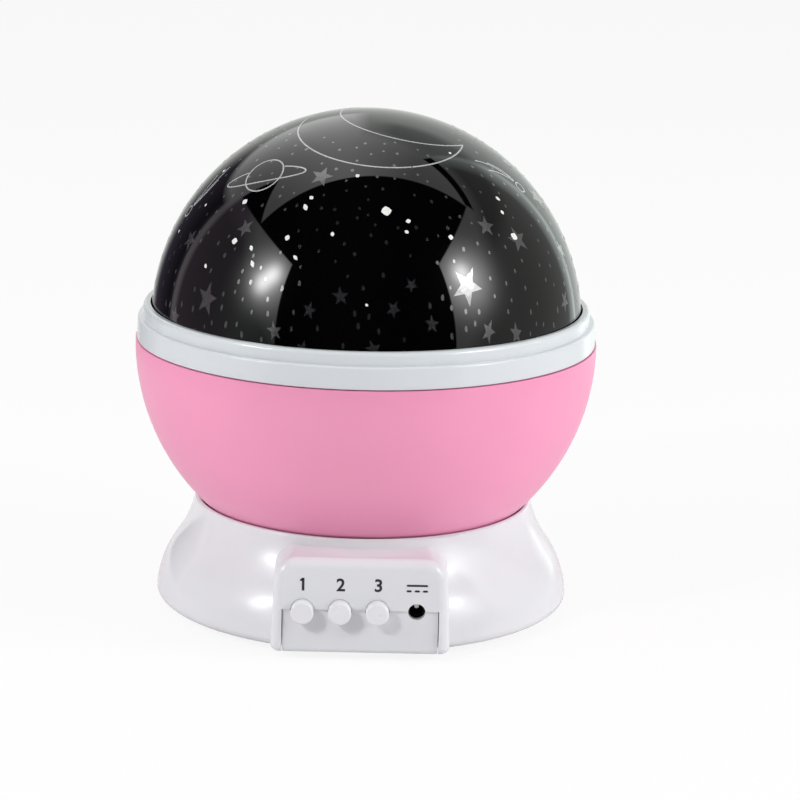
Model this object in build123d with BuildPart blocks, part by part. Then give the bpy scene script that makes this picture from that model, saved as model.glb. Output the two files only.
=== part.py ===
from build123d import *
from math import acos, cos, pi, radians, sin, sqrt, tan
import os

# Star night light projector: a bowl and dome that turn on a bell-shaped base.
# Millimetres, +Z up. The origin is on the floor under the middle of the object.
# The control panel faces -Y.

# Fits
joint_gap = 0.3  # between pieces that move past each other
shaft_gap = 0.05  # radial, round a turning or sliding pin
seat_gap = 0.15  # round a piece that sits in a recess
screw_gap = 0.05  # radial, round a screw in its own thread
slot_gap = 0.2  # each side of the panel's insert

# Base shell: a convex skirt that turns into a leaning neck and ends in a collar
foot_height = 2.0
base_wall = 1.8
skirt_arc = 25.4
skirt_turn = 36.5
skirt_round = 2.0
neck_arc = 29.1
neck_turn = 22.5
collar_rise = 2.4
collar_gap = 0.35  # from the bowl to the collar's relief
collar_lip = 0.85
collar_round = 0.7
deck_top = 20.5
deck_thickness = 2.0
deck_hole_margin = 0.4  # inside the lamp post's bore

# Control box on the front of the base
box_stand = 0.8  # how far the panel stands out in front of the skirt's foot
box_foot_width = 46.8
box_taper = 1.0  # of each side, from the foot to the top
box_top = 27.4
box_corner = 6.0
box_edge = 2.6
insert_side = 3.2  # from the insert to the box's side
insert_recess = 0.6
insert_wall = 1.8

# Buttons, switches and power inlet, on one line across the panel
control_height = 13.75
button_pitch = 9.75
first_button = -15.1
button_count = 3
button_radius = 3.0
button_stand = 3.0
button_travel = 1.5
button_dome = 0.5
button_hole_gap = 0.1
flange_lap = 0.6  # of a button's flange behind the panel
flange_thickness = 0.8
switch_width = 6.0
switch_depth = 3.5
plunger_radius = 1.7
plunger_entry = 1.0
jack_at = 14.6
jack_width = 6.4
jack_height = 6.8
jack_bore = 2.25  # through the panel and into the inlet's mouth
throat_depth = 1.2
jack_socket = 1.9
jack_back_wall = 1.2
jack_pin_radius = 0.6
jack_pin_sink = 2.0  # from the end of the mouth to the pin's tip

# Control board behind the panel
board_setback = 8.5
board_thickness = 1.2
board_side_gap = 1.6
board_lift = 1.7
board_post = 1.5
board_post_drop = 1.6  # from the board's top edge to its screws

# Bottom plate
plate_thickness = 1.8
plate_gap = 0.3
plate_boss = 4.0
plate_boss_height = 2.5

# Screws: shank radius, head radius, head height
base_screw = 1.25
base_screw_head = 2.6
base_screw_head_height = 1.6
base_screw_length = 9.0
base_screw_sink = 0.4
base_screw_margin = 12.2  # from the skirt's foot
base_screw_angle = 30.0
small_screw = 0.95
small_screw_head = 1.8
small_screw_head_height = 1.2
board_screw = 0.6
board_screw_head = 1.3
board_screw_head_height = 0.8
board_screw_length = 5.0
shell_boss = 3.2

# Rubber feet
foot_radius = 4.5
foot_margin = 10.7  # from the skirt's foot to a pad's middle
foot_inset = 0.6

# Batteries: four AAA cells side by side
cell_radius = 5.25
cell_length = 44.5
cell_round = 0.5
cell_nub = 1.0
cell_nub_radius = 1.9
cell_pitch = 10.7
cell_count = 4
cell_lift = 0.4
tray_wall = 1.5
tray_end_room = 2.75
tray_side_room = 0.7
tray_head_room = 0.5
tray_roof = 1.2
tray_middle = 13.0  # distance of the tray's middle behind the axis
contact_thickness = 0.4
contact_width = 7.0
contact_height = 8.5
contact_gap = 0.1

# Battery door
door_thickness = 1.6
door_knuckle = 1.0
door_pin = 0.7
door_pin_length = 1.2
door_tab_width = 8.0
door_tab_reach = 1.8
door_tab_thickness = 0.9
door_grooves = 3
door_groove_width = 0.8
door_groove_length = 12.0
door_groove_depth = 0.4
door_groove_pitch = 2.0
notch_width = 14.0

# Drive: module 1 spur pair between the motor and the turntable
gear_module = 1.0
gear_teeth = 36
pinion_teeth = 16
pressure_angle = 20.0
backlash = 0.3
centre_slack = 0.1
tip_height = 0.95  # in modules
root_depth = 1.25  # in modules
gear_width = 4.0
gear_web = 2.4
gear_rim = 2.55  # thickness of the rim under the teeth
pinion_width = 3.8
pinion_lift = 1.0
shaft_radius = 1.5

# Gear motor under the deck
gearbox_radius = 12.0
gearbox_height = 6.0
motor_radius = 10.0
motor_height = 6.0
motor_nose = 3.5
motor_nose_height = 1.6
motor_nose_gap = 0.3
motor_ear_length = 5.0
motor_ear_width = 7.0
motor_ear_thickness = 1.0
motor_screw_margin = 2.5  # from an ear's end
shaft_depth = 5.0

# Lamp post and the bearing round it
post_radius = 7.0
post_wall = 2.0
flange_gap = 1.2  # between the post's flange and the gear's rim
post_flange_height = 2.5
post_screw_margin = 2.8  # from the flange's edge
post_screw_count = 3
washer_thickness = 0.5
washer_margin = 2.0  # beyond the hub
hub_wall = 2.5
hub_height = 3.0
groove_depth = 0.7
ring_thickness = 0.8
ring_reach = 2.0  # beyond the post
ring_opening = 50.0
ring_play = 0.3

# Bowl
bowl_radius = 62.5
bowl_foot = 40.3  # radius of the flat floor, before its edge is rounded
bowl_shift = 1.9  # from the axis to the middle of the side's arc
bowl_edge_rise = 0.77  # from the widest section to the edge
bowl_floor = 26.0
bowl_wall = 2.0
gear_screw_margin = 2.2  # from the gear's rim
gear_screw_count = 3

# Rim ring on the bowl's edge, and the light plate in it
rim_seam = 0.3
rim_height = 5.75
rim_overhang = 0.4
rim_draft = 0.2
rim_wall = 2.0
rim_round = 0.6
rim_skirt = 4.15
rim_ledge = 2.9
rim_ledge_thickness = 1.6
rim_skirt_wall = 1.5
plate_disc = 1.4
plate_hole_gap = 1.5  # round the lamp head
plate_lip = 1.5
plate_lip_height = 2.0
plate_screw_margin = 3.9  # from the ring's bore
plate_screw_count = 3
plate_boss_radius = 3.0
plate_boss_depth = 7.0

# Dome and its ring
dome_wall = 1.6
dome_sink = 5.6  # how far the dome's centre lies under the ring's top
dome_edge = 0.4  # how far the dome's lower edge lies over its centre
dome_ring_height = 3.5
dome_ring_step = 1.45  # in from the rim ring's edge
dome_ring_wall = 1.93
dome_ring_round = 1.0
dome_seat = 0.12
dome_ledge = 1.9
dome_ledge_thickness = 1.2
head_room = 0.6

# Lamp head
holder_radius = 9.5
holder_height = 3.0
holder_spigot = 4.0
holder_bore = 2.0
lamp_board_margin = 0.3
lamp_drop = 0.6  # of the lamp board's underside under the light plate's
lamp_board_thickness = 1.2
led_circle = 4.2
led_radius = 2.45
led_rim = 0.35
led_flange_height = 1.0
led_height = 5.4
led_screw_circle = 7.4
led_screw = 0.6
led_screw_head = 1.2
led_screw_head_height = 0.8

os.makedirs("parts", exist_ok=True)


def keep(piece, name):
    piece.part.label = name
    export_step(piece.part, f"parts/{name}.step")


def screws(places, under_head, length, shank, head, head_height, way=1):
    """Pan head screws with a cross recess. Their heads bear on a face at height under_head.

    way is 1 where the screws point up and -1 where they point down.
    """
    with BuildPart() as group:
        with BuildSketch(Plane.XY.offset(under_head)):
            with places:
                Circle(shank)
        extrude(amount=way * length)
        with BuildSketch(Plane.XY.offset(under_head)):
            with places:
                Circle(head)
        extrude(amount=-way * head_height)
        with BuildSketch(Plane.XY.offset(under_head - way * head_height)):
            with places:
                Rectangle(head, head / 4)
                Rectangle(head / 4, head)
        extrude(amount=way * head_height / 2, mode=Mode.SUBTRACT)
    return group


# Heights of the bowl, the rings and the dome
bowl_arc = bowl_radius - bowl_shift
bowl_equator = bowl_floor + sqrt(bowl_arc**2 - (bowl_foot - bowl_shift) ** 2)
bowl_edge = bowl_equator + bowl_edge_rise
rim_bottom = bowl_edge + rim_seam
rim_top = rim_bottom + rim_height
ring_top = rim_top + dome_ring_height
dome_centre = ring_top - dome_sink
dome_bottom = dome_centre + dome_edge
dome_ring_bottom = dome_bottom - dome_ledge_thickness
light_plate_top = dome_ring_bottom - head_room - small_screw_head_height
light_plate_bottom = light_plate_top - plate_disc
lamp_board_bottom = light_plate_bottom - lamp_drop
lamp_board_top = lamp_board_bottom + lamp_board_thickness
post_top = lamp_board_bottom - holder_height


def bowl_side(height, inset=0.0):
    """Radius of the bowl at a height, measured to a surface that lies inset inside it."""
    return bowl_shift + sqrt((bowl_arc - inset) ** 2 - (bowl_equator - height) ** 2)


# Radii of the rings and the dome
rim_radius = bowl_radius - rim_overhang - rim_draft
rim_bore = rim_radius - rim_wall
dome_ring_radius = rim_radius - dome_ring_step
dome_seat_radius = dome_ring_radius - dome_ring_wall
dome_radius = dome_seat_radius - dome_seat

# Base shell, its control box and what stands behind the panel
steep = radians(skirt_turn)
lean = radians(skirt_turn - neck_turn)
neck_top = foot_height + skirt_arc * sin(steep) + neck_arc * (sin(steep) - sin(lean))
collar_top = neck_top + collar_rise
collar_radius = bowl_side(collar_top, -collar_gap) + collar_lip
neck_foot_radius = collar_radius + collar_rise * tan(lean) + neck_arc * (cos(lean) - cos(steep))
skirt_radius = neck_foot_radius + skirt_arc * (1 - cos(steep))
deck_underside = deck_top - deck_thickness
plate_top = foot_height + plate_thickness
box_front = skirt_radius + box_stand
box_top_width = box_foot_width - 2 * box_taper
panel_inside = box_front - base_wall
insert_width = box_foot_width - 2 * insert_side
insert_top = control_height
insert_front = box_front - insert_recess
insert_inside = insert_front - insert_wall
board_front = panel_inside - board_setback
board_back = board_front - board_thickness
board_width = box_foot_width - 2 * (base_wall + board_side_gap)
board_foot = plate_top + board_lift
board_top = deck_underside - joint_gap
board_post_height = board_top - board_post_drop
button_hole = button_radius + button_hole_gap
button_flange = button_hole + flange_lap
button_places = [first_button + button_pitch * i for i in range(button_count)]
board_post_places = [
    (button_places[0] + button_places[1]) / 2,
    (button_places[-1] + jack_at) / 2,
]
base_screw_circle = skirt_radius - base_screw_margin
foot_circle = skirt_radius - foot_margin

# Drive and lamp post
gear_rim_inner = gear_module * (gear_teeth / 2 - root_depth) - gear_rim
gear_screw_circle = gear_rim_inner - gear_screw_margin
motor_at = (0, -(gear_module * (gear_teeth + pinion_teeth) / 2 + centre_slack))
motor_ear_reach = gearbox_radius + motor_ear_length
motor_screw_reach = motor_ear_reach - motor_screw_margin
post_bore = post_radius - post_wall
deck_hole = post_bore - deck_hole_margin
post_flange = gear_rim_inner - flange_gap
post_screw_circle = post_flange - post_screw_margin
hub_radius = post_radius + hub_wall
washer_radius = hub_radius + washer_margin
ring_groove = post_radius - groove_depth
ring_radius = post_radius + ring_reach
plate_hole = holder_radius + plate_hole_gap
plate_screw_circle = rim_bore - plate_screw_margin
lamp_board_radius = holder_radius - lamp_board_margin
led_flange = led_radius + led_rim


def base_outline(inset):
    """Half section of the base, up to a surface that lies inset inside its outer one."""
    with BuildSketch(Plane.XZ) as outline:
        with BuildLine():
            skirt = JernArc((skirt_radius - inset, foot_height), (0, 1), skirt_arc - inset, skirt_turn)
            neck = JernArc(skirt @ 1, skirt % 1, neck_arc + inset, -neck_turn)
            Polyline(
                neck @ 1,
                (collar_radius - inset / cos(lean), collar_top),
                (0, collar_top),
                (0, foot_height),
                skirt @ 0,
            )
        make_face()
    return outline


def control_box(inset, foot):
    """The control box's solid form, inset inside its outer one and cut off at foot."""
    front = box_front - inset
    back = sqrt((collar_radius - 2 * base_wall) ** 2 - (box_foot_width / 2) ** 2)
    with BuildPart() as box:
        with BuildSketch(Plane.XZ.offset(front)) as face:
            with BuildLine():
                Polyline(
                    (box_foot_width / 2 - inset, foot),
                    (box_top_width / 2 - inset, box_top - inset),
                    (-box_top_width / 2 + inset, box_top - inset),
                    (-box_foot_width / 2 + inset, foot),
                    close=True,
                )
            make_face()
            fillet(face.vertices().group_by(Axis.Y)[-1], box_corner - inset)
        extrude(amount=back - front)
        fillet(box.faces().sort_by(Axis.Y)[0].edges().sort_by(Axis.Z)[1:], box_edge - inset)
    return box


def bowl_outline(inset, floor):
    """Half section of the bowl's inside or outside, from floor up to its edge."""
    foot = (bowl_side(floor, inset), floor)
    edge = (bowl_side(bowl_edge, inset), bowl_edge)
    with BuildSketch(Plane.XZ) as outline:
        with BuildLine():
            RadiusArc(foot, edge, inset - bowl_arc)
            Polyline(edge, (0, bowl_edge), (0, floor), foot)
        make_face()
    return outline


# Base shell: outer form, hollowed from below, with the deck across its neck
with BuildPart() as box_form:
    add(control_box(0, foot_height).part)
    fillet(box_form.faces().sort_by(Axis.Z)[0].edges().sort_by(Axis.Y)[:-1], skirt_round)
box_hollow = control_box(base_wall, foot_height - base_wall)
post_screw_places = PolarLocations(post_screw_circle, post_screw_count)
motor_ear_places = Locations(
    (motor_screw_reach, motor_at[1]),
    (-motor_screw_reach, motor_at[1]),
)
base_screw_angles = [base_screw_angle, 180 - base_screw_angle, 180 + base_screw_angle, -base_screw_angle]
base_screw_places = Locations(
    *[
        (base_screw_circle * cos(radians(a)), base_screw_circle * sin(radians(a)))
        for a in base_screw_angles
    ]
)
insert_slot = insert_width + 2 * slot_gap

with BuildSketch(Plane.XZ) as neck_hollow:
    add(base_outline(base_wall).sketch)
    with Locations((0, deck_top)):
        Rectangle(skirt_radius, collar_top, align=(Align.MIN, Align.MIN), mode=Mode.INTERSECT)

with BuildSketch(Plane.XZ) as neck_form:
    add(base_outline(0).sketch)
    fillet(neck_form.vertices().group_by(Axis.Y)[-1].sort_by(Axis.X)[-1], collar_round)
    with Locations((0, deck_underside)):
        Rectangle(skirt_radius, collar_top, align=(Align.MIN, Align.MIN), mode=Mode.INTERSECT)
    add(neck_hollow.sketch, mode=Mode.SUBTRACT)

with BuildPart() as base_shell:
    with BuildSketch(Plane.XZ) as bell:
        add(base_outline(0).sketch)
        fillet(bell.vertices().group_by(Axis.Y)[-1].sort_by(Axis.X)[-1], collar_round)
        fillet(bell.vertices().group_by(Axis.Y)[0].sort_by(Axis.X)[-1], skirt_round)
    revolve()
    add(box_form.part)
    add(box_hollow.part, mode=Mode.SUBTRACT)
    with BuildSketch(Plane.XZ):
        add(base_outline(base_wall).sketch)
    revolve(mode=Mode.SUBTRACT)
    # neck wall and deck, with relief for the bowl inside the collar
    with BuildSketch(Plane.XZ):
        add(neck_form.sketch)
    revolve()
    with BuildSketch(Plane.XZ):
        add(bowl_outline(-collar_gap, bowl_floor - collar_gap).sketch)
    revolve(mode=Mode.SUBTRACT)
    # slot for the bottom plate's insert
    with BuildSketch(Plane.XZ.offset(box_front)):
        with Locations((0, foot_height)):
            Rectangle(insert_slot, insert_top - foot_height + slot_gap, align=(Align.CENTER, Align.MIN))
    extrude(amount=-insert_recess - insert_wall, mode=Mode.SUBTRACT)
    # bosses for the screws from the bottom plate
    with BuildSketch(Plane.XY.offset(plate_top + plate_boss_height)):
        with base_screw_places:
            Circle(shell_boss)
    extrude(until=Until.NEXT)
    with BuildSketch(Plane.XY.offset(plate_top + plate_boss_height)):
        with base_screw_places:
            Circle(base_screw + screw_gap)
    extrude(amount=base_screw_length, mode=Mode.SUBTRACT)
    # posts for the control board
    with BuildSketch(Plane.XZ.offset(board_front)):
        with Locations(*[(x, board_post_height) for x in board_post_places]):
            Circle(board_post)
    extrude(amount=board_setback)
    with BuildSketch(Plane.XZ.offset(board_front)):
        with Locations(*[(x, board_post_height) for x in board_post_places]):
            Circle(board_screw + screw_gap)
    extrude(amount=board_screw_length, mode=Mode.SUBTRACT)
    # openings of the buttons and the power inlet
    with BuildSketch(Plane.XZ.offset(box_front)):
        with Locations(*[(x, control_height) for x in button_places]):
            Circle(button_hole)
        with Locations((jack_at, control_height)):
            Circle(jack_bore)
    extrude(amount=-base_wall, mode=Mode.SUBTRACT)
    # holes of the deck
    with BuildSketch(Plane.XY.offset(deck_underside)):
        Circle(deck_hole)
        with post_screw_places:
            Circle(small_screw + screw_gap)
        with Locations(motor_at):
            Circle(motor_nose + motor_nose_gap)
        with motor_ear_places:
            Circle(small_screw + screw_gap)
    extrude(amount=deck_thickness, mode=Mode.SUBTRACT)
keep(base_shell, "base_shell")

# Bottom plate with the battery tray and the insert that closes the panel
tray_length = cell_length + 2 * tray_end_room
tray_depth = cell_pitch * (cell_count - 1) + 2 * cell_radius + 2 * tray_side_room
cell_bottom = foot_height + door_thickness + cell_lift
tray_ceiling = cell_bottom + 2 * cell_radius + tray_head_room
tray_top = tray_ceiling + tray_roof
tray_front = tray_middle - tray_depth / 2
tray_back = tray_middle + tray_depth / 2
knuckle_y = tray_back - joint_gap - door_knuckle
knuckle_z = foot_height + seat_gap + door_knuckle
foot_places = PolarLocations(foot_circle, 4, 45)

with BuildPart() as base_plate:
    with BuildSketch(Plane.XY.offset(foot_height)):
        Circle(skirt_radius - base_wall - plate_gap)
        with Locations((0, -insert_front)):
            Rectangle(insert_width, insert_front, align=(Align.CENTER, Align.MIN))
    extrude(amount=plate_thickness)
    with BuildSketch(Plane.XY.offset(foot_height)):
        with Locations((0, -insert_front)):
            Rectangle(insert_width, insert_wall, align=(Align.CENTER, Align.MIN))
    extrude(amount=insert_top - foot_height)
    fillet(base_plate.edges().group_by(Axis.Y)[0].sort_by(Axis.Z)[0], skirt_round - insert_recess)
    with BuildSketch(Plane.XY.offset(foot_height)):
        with Locations((0, tray_middle)):
            Rectangle(tray_length + 2 * tray_wall, tray_depth + 2 * tray_wall)
    extrude(amount=tray_top - foot_height)
    with BuildSketch(Plane.XY.offset(foot_height)):
        with Locations((0, tray_middle)):
            Rectangle(tray_length, tray_depth)
    extrude(amount=tray_ceiling - foot_height, mode=Mode.SUBTRACT)
    # finger notch in front of the door, which its tab reaches into
    with BuildSketch(Plane.XY.offset(foot_height)):
        with Locations((0, tray_front)):
            Rectangle(notch_width, 2 * (door_tab_reach + joint_gap))
    extrude(amount=door_thickness + joint_gap, mode=Mode.SUBTRACT)
    # bearings of the door's pins
    with BuildSketch(Plane.YZ):
        with Locations((knuckle_y, knuckle_z)):
            Circle(door_pin + shaft_gap)
    extrude(amount=tray_length / 2 + tray_wall, both=True, mode=Mode.SUBTRACT)
    # bosses, screw holes with sunk heads, and seats of the feet
    with BuildSketch(Plane.XY.offset(plate_top)):
        with base_screw_places:
            Circle(plate_boss)
    extrude(amount=plate_boss_height)
    with BuildSketch(Plane.XY.offset(foot_height)):
        with base_screw_places:
            Circle(base_screw + seat_gap)
    extrude(amount=plate_thickness + plate_boss_height, mode=Mode.SUBTRACT)
    with BuildSketch(Plane.XY.offset(foot_height)):
        with base_screw_places:
            Circle(base_screw_head + seat_gap)
    extrude(amount=base_screw_sink + base_screw_head_height, mode=Mode.SUBTRACT)
    with BuildSketch(Plane.XY.offset(foot_height)):
        with foot_places:
            Circle(foot_radius + seat_gap)
    extrude(amount=foot_inset, mode=Mode.SUBTRACT)
    # lower halves of the openings in the panel
    with BuildSketch(Plane.XZ.offset(insert_front)):
        with Locations(*[(x, control_height) for x in button_places]):
            Circle(button_hole)
        with Locations((jack_at, control_height)):
            Circle(jack_bore)
    extrude(amount=-insert_wall, mode=Mode.SUBTRACT)
keep(base_plate, "base_plate")

with BuildPart() as rubber_feet:
    with foot_places:
        Cylinder(foot_radius, foot_height + foot_inset, align=(Align.CENTER, Align.CENTER, Align.MIN))
    fillet(rubber_feet.edges().group_by(Axis.Z)[0], foot_inset)
keep(rubber_feet, "rubber_feet")


base_screws = screws(
    base_screw_places,
    foot_height + base_screw_sink + base_screw_head_height,
    base_screw_length,
    base_screw,
    base_screw_head,
    base_screw_head_height,
)
keep(base_screws, "base_screws")

# Battery door: a flat lid on two stub pins, with a tab at its front edge
door_front = tray_front + joint_gap
with BuildPart() as battery_door:
    with BuildSketch(Plane.YZ):
        with Locations((door_front, foot_height)):
            Rectangle(knuckle_y - door_front, door_thickness, align=(Align.MIN, Align.MIN))
        with Locations((knuckle_y, knuckle_z)):
            Circle(door_knuckle)
    extrude(amount=tray_length / 2 - joint_gap, both=True)
    with BuildSketch(Plane.YZ):
        with Locations((knuckle_y, knuckle_z)):
            Circle(door_pin)
    extrude(amount=tray_length / 2 + door_pin_length, both=True)
    with BuildSketch(Plane.XY.offset(foot_height + door_thickness - door_tab_thickness)):
        with Locations((0, door_front)):
            Rectangle(door_tab_width, 2 * door_tab_reach)
    extrude(amount=door_tab_thickness)
    # grip grooves beside the tab
    with BuildSketch(Plane.XY.offset(foot_height)):
        with Locations((0, door_front + door_grooves * door_groove_pitch)):
            with GridLocations(0, door_groove_pitch, 1, door_grooves):
                SlotOverall(door_groove_length, door_groove_width)
    extrude(amount=door_groove_depth, mode=Mode.SUBTRACT)
keep(battery_door, "battery_door")

# Battery cells, turned end for end in turn, and the contacts at the tray's ends
cell_axis = cell_bottom + cell_radius
for i in range(cell_count):
    y = tray_middle + cell_pitch * (i - (cell_count - 1) / 2)
    way = 1 if i % 2 == 0 else -1
    with BuildPart() as cell:
        with BuildSketch(Plane.YZ.offset(-way * cell_length / 2)) as can:
            with Locations((y, cell_axis)):
                Circle(cell_radius)
        extrude(amount=way * (cell_length - cell_nub))
        fillet(cell.edges().filter_by(GeomType.CIRCLE), cell_round)
        with BuildSketch(Plane.YZ.offset(way * (cell_length / 2 - cell_nub))):
            with Locations((y, cell_axis)):
                Circle(cell_nub_radius)
        extrude(amount=way * cell_nub)
    keep(cell, f"battery_cell_{i + 1}")


def contacts(side):
    """Leaf contacts of one end of the tray: a plate for each cell with a raised leaf that touches it."""
    outer = tray_length / 2 - contact_gap
    leaf = tray_end_room - 2 * contact_gap - 1.5 * contact_thickness
    with BuildPart() as row:
        for i in range(cell_count):
            y = tray_middle + cell_pitch * (i - (cell_count - 1) / 2)
            with BuildSketch(Plane.YZ.offset(side * outer)):
                with Locations((y, cell_axis)):
                    Rectangle(contact_width, contact_height)
            extrude(amount=-side * contact_thickness)
            with BuildSketch(Plane.XZ.offset(-y)) as bow:
                with BuildLine():
                    root_x = side * (outer - contact_thickness)
                    ThreePointArc(
                        (root_x, cell_axis - contact_height / 2 + contact_thickness),
                        (root_x - side * leaf, cell_axis),
                        (root_x, cell_axis + contact_height / 2 - contact_thickness),
                    )
                    offset(amount=contact_thickness / 2, side=Side.BOTH, closed=True)
                make_face()
            extrude(amount=contact_width / 4, both=True)
    return row


keep(contacts(-1), "battery_contacts_left")
keep(contacts(1), "battery_contacts_right")

# Control board, its screws, the switches and the power inlet
with BuildPart() as control_board:
    with BuildSketch(Plane.XZ.offset(board_front)):
        with Locations((0, board_foot)):
            Rectangle(board_width, board_top - board_foot, align=(Align.CENTER, Align.MIN))
        with Locations(*[(x, board_post_height) for x in board_post_places]):
            Circle(board_screw + seat_gap, mode=Mode.SUBTRACT)
    extrude(amount=-board_thickness)
keep(control_board, "control_board")

with BuildPart() as board_screws:
    with BuildSketch(Plane.XZ.offset(board_back)):
        with Locations(*[(x, board_post_height) for x in board_post_places]):
            Circle(board_screw)
    extrude(amount=board_screw_length)
    with BuildSketch(Plane.XZ.offset(board_back)):
        with Locations(*[(x, board_post_height) for x in board_post_places]):
            Circle(board_screw_head)
    extrude(amount=-board_screw_head_height)
keep(board_screws, "board_screws")

flange_front = insert_inside - joint_gap
flange_back = flange_front - flange_thickness
switch_front = board_front + switch_depth
for i, x in enumerate(button_places):
    with BuildPart() as button_cap:
        with BuildSketch(Plane.XZ.offset(flange_back)):
            with Locations((x, control_height)):
                Circle(button_flange)
        extrude(amount=flange_thickness)
        with BuildSketch(Plane.XZ.offset(flange_front)):
            with Locations((x, control_height)):
                Circle(button_radius)
        extrude(amount=box_front + button_stand - flange_front)
        fillet(button_cap.edges().group_by(Axis.Y)[0], button_dome)
    keep(button_cap, f"button_cap_{i + 1}")

    with BuildPart() as plunger:
        with BuildSketch(Plane.XZ.offset(switch_front - plunger_entry)):
            with Locations((x, control_height)):
                Circle(plunger_radius)
        extrude(amount=flange_back - switch_front + plunger_entry)
    keep(plunger, f"switch_plunger_{i + 1}")

    with BuildPart() as switch_body:
        with BuildSketch(Plane.XZ.offset(board_front)):
            with Locations((x, control_height)):
                Rectangle(switch_width, switch_width)
        extrude(amount=switch_depth)
        with BuildSketch(Plane.XZ.offset(switch_front)):
            with Locations((x, control_height)):
                Circle(plunger_radius + shaft_gap)
        extrude(amount=-(plunger_entry + button_travel + joint_gap), mode=Mode.SUBTRACT)
    keep(switch_body, f"switch_body_{i + 1}")

jack_front = insert_inside - seat_gap
with BuildPart() as dc_jack:
    with BuildSketch(Plane.XZ.offset(board_front)):
        with Locations((jack_at, control_height)):
            Rectangle(jack_width, jack_height)
    extrude(amount=jack_front - board_front)
    with BuildSketch(Plane.XZ.offset(jack_front)):
        with Locations((jack_at, control_height)):
            Circle(jack_socket)
    extrude(amount=-(jack_front - board_front - jack_back_wall), mode=Mode.SUBTRACT)
    with BuildSketch(Plane.XZ.offset(jack_front)):
        with Locations((jack_at, control_height)):
            Circle(jack_bore)
    extrude(amount=-throat_depth, mode=Mode.SUBTRACT)
keep(dc_jack, "dc_jack")

with BuildPart() as jack_pin:
    with BuildSketch(Plane.XZ.offset(board_front + jack_back_wall)):
        with Locations((jack_at, control_height)):
            Circle(jack_pin_radius)
    extrude(amount=jack_front - throat_depth - jack_pin_sink - board_front - jack_back_wall)
keep(jack_pin, "jack_pin")

# Gear motor hung under the deck, with its shaft up through it
nose_top = deck_underside + motor_nose_height
shaft_bottom = nose_top - shaft_depth
pinion_bottom = deck_top + pinion_lift
with BuildPart() as gear_motor:
    with BuildSketch(Plane.XY.offset(deck_underside)):
        with Locations(motor_at):
            Circle(gearbox_radius)
    extrude(amount=-gearbox_height)
    with BuildSketch(Plane.XY.offset(deck_underside - gearbox_height)):
        with Locations(motor_at):
            Circle(motor_radius)
    extrude(amount=-motor_height)
    with BuildSketch(Plane.XY.offset(deck_underside)):
        with Locations(motor_at):
            SlotOverall(2 * motor_ear_reach, motor_ear_width)
    extrude(amount=-motor_ear_thickness)
    with BuildSketch(Plane.XY.offset(deck_underside)):
        with Locations(motor_at):
            Circle(motor_nose)
    extrude(amount=motor_nose_height)
    with BuildSketch(Plane.XY.offset(nose_top)):
        with Locations(motor_at):
            Circle(shaft_radius + shaft_gap)
    extrude(amount=-shaft_depth, mode=Mode.SUBTRACT)
    with BuildSketch(Plane.XY.offset(deck_underside)):
        with motor_ear_places:
            Circle(small_screw + seat_gap)
    extrude(amount=-motor_ear_thickness, mode=Mode.SUBTRACT)
keep(gear_motor, "gear_motor")

motor_screws = screws(
    motor_ear_places,
    deck_underside - motor_ear_thickness,
    motor_ear_thickness + deck_thickness,
    small_screw,
    small_screw_head,
    small_screw_head_height,
)
keep(motor_screws, "motor_screws")

# Lamp post with its flange on the deck, thrust washer and retaining ring
washer_bottom = deck_top + post_flange_height
hub_bottom = washer_bottom + washer_thickness
hub_top = bowl_floor + bowl_wall + hub_height
groove_bottom = hub_top + ring_play
with BuildPart() as lamp_post:
    with BuildSketch(Plane.XZ):
        with BuildLine():
            Polyline(
                (post_bore, deck_top),
                (post_flange, deck_top),
                (post_flange, washer_bottom),
                (post_radius, washer_bottom),
                (post_radius, groove_bottom),
                (ring_groove, groove_bottom),
                (ring_groove, groove_bottom + ring_thickness + shaft_gap),
                (post_radius, groove_bottom + ring_thickness + shaft_gap),
                (post_radius, post_top),
                (post_bore, post_top),
                close=True,
            )
        make_face()
    revolve()
    with BuildSketch(Plane.XY.offset(deck_top)):
        with post_screw_places:
            Circle(small_screw + screw_gap)
    extrude(amount=post_flange_height - seat_gap, mode=Mode.SUBTRACT)
keep(lamp_post, "lamp_post")

post_screws = screws(
    post_screw_places,
    deck_underside,
    deck_thickness + post_flange_height - 2 * seat_gap,
    small_screw,
    small_screw_head,
    small_screw_head_height,
)
keep(post_screws, "post_screws")

with BuildPart() as thrust_washer:
    with BuildSketch(Plane.XY.offset(washer_bottom)):
        Circle(washer_radius)
        Circle(post_radius + seat_gap, mode=Mode.SUBTRACT)
    extrude(amount=washer_thickness)
keep(thrust_washer, "thrust_washer")

with BuildPart() as retaining_ring:
    with BuildSketch(Plane.XY.offset(groove_bottom)):
        Circle(ring_radius)
        Circle(ring_groove + shaft_gap, mode=Mode.SUBTRACT)
        with BuildLine():
            Polyline(
                (0, 0),
                (2 * ring_radius, -2 * ring_radius * tan(radians(ring_opening / 2))),
                (2 * ring_radius, 2 * ring_radius * tan(radians(ring_opening / 2))),
                close=True,
            )
        make_face(mode=Mode.SUBTRACT)
    extrude(amount=ring_thickness)
keep(retaining_ring, "retaining_ring")


# Spur gears
def flank(radius, teeth, side):
    """Point of an involute tooth's flank; the tooth's middle lies on +X."""
    pitch = gear_module * teeth / 2
    base = pitch * cos(radians(pressure_angle))
    half = (pi * gear_module - backlash) / (4 * pitch)
    start = tan(radians(pressure_angle)) - radians(pressure_angle)
    roll = acos(min(1.0, base / radius))
    turn = side * (half + start - (tan(roll) - roll))
    return (radius * cos(turn), radius * sin(turn))


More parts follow.
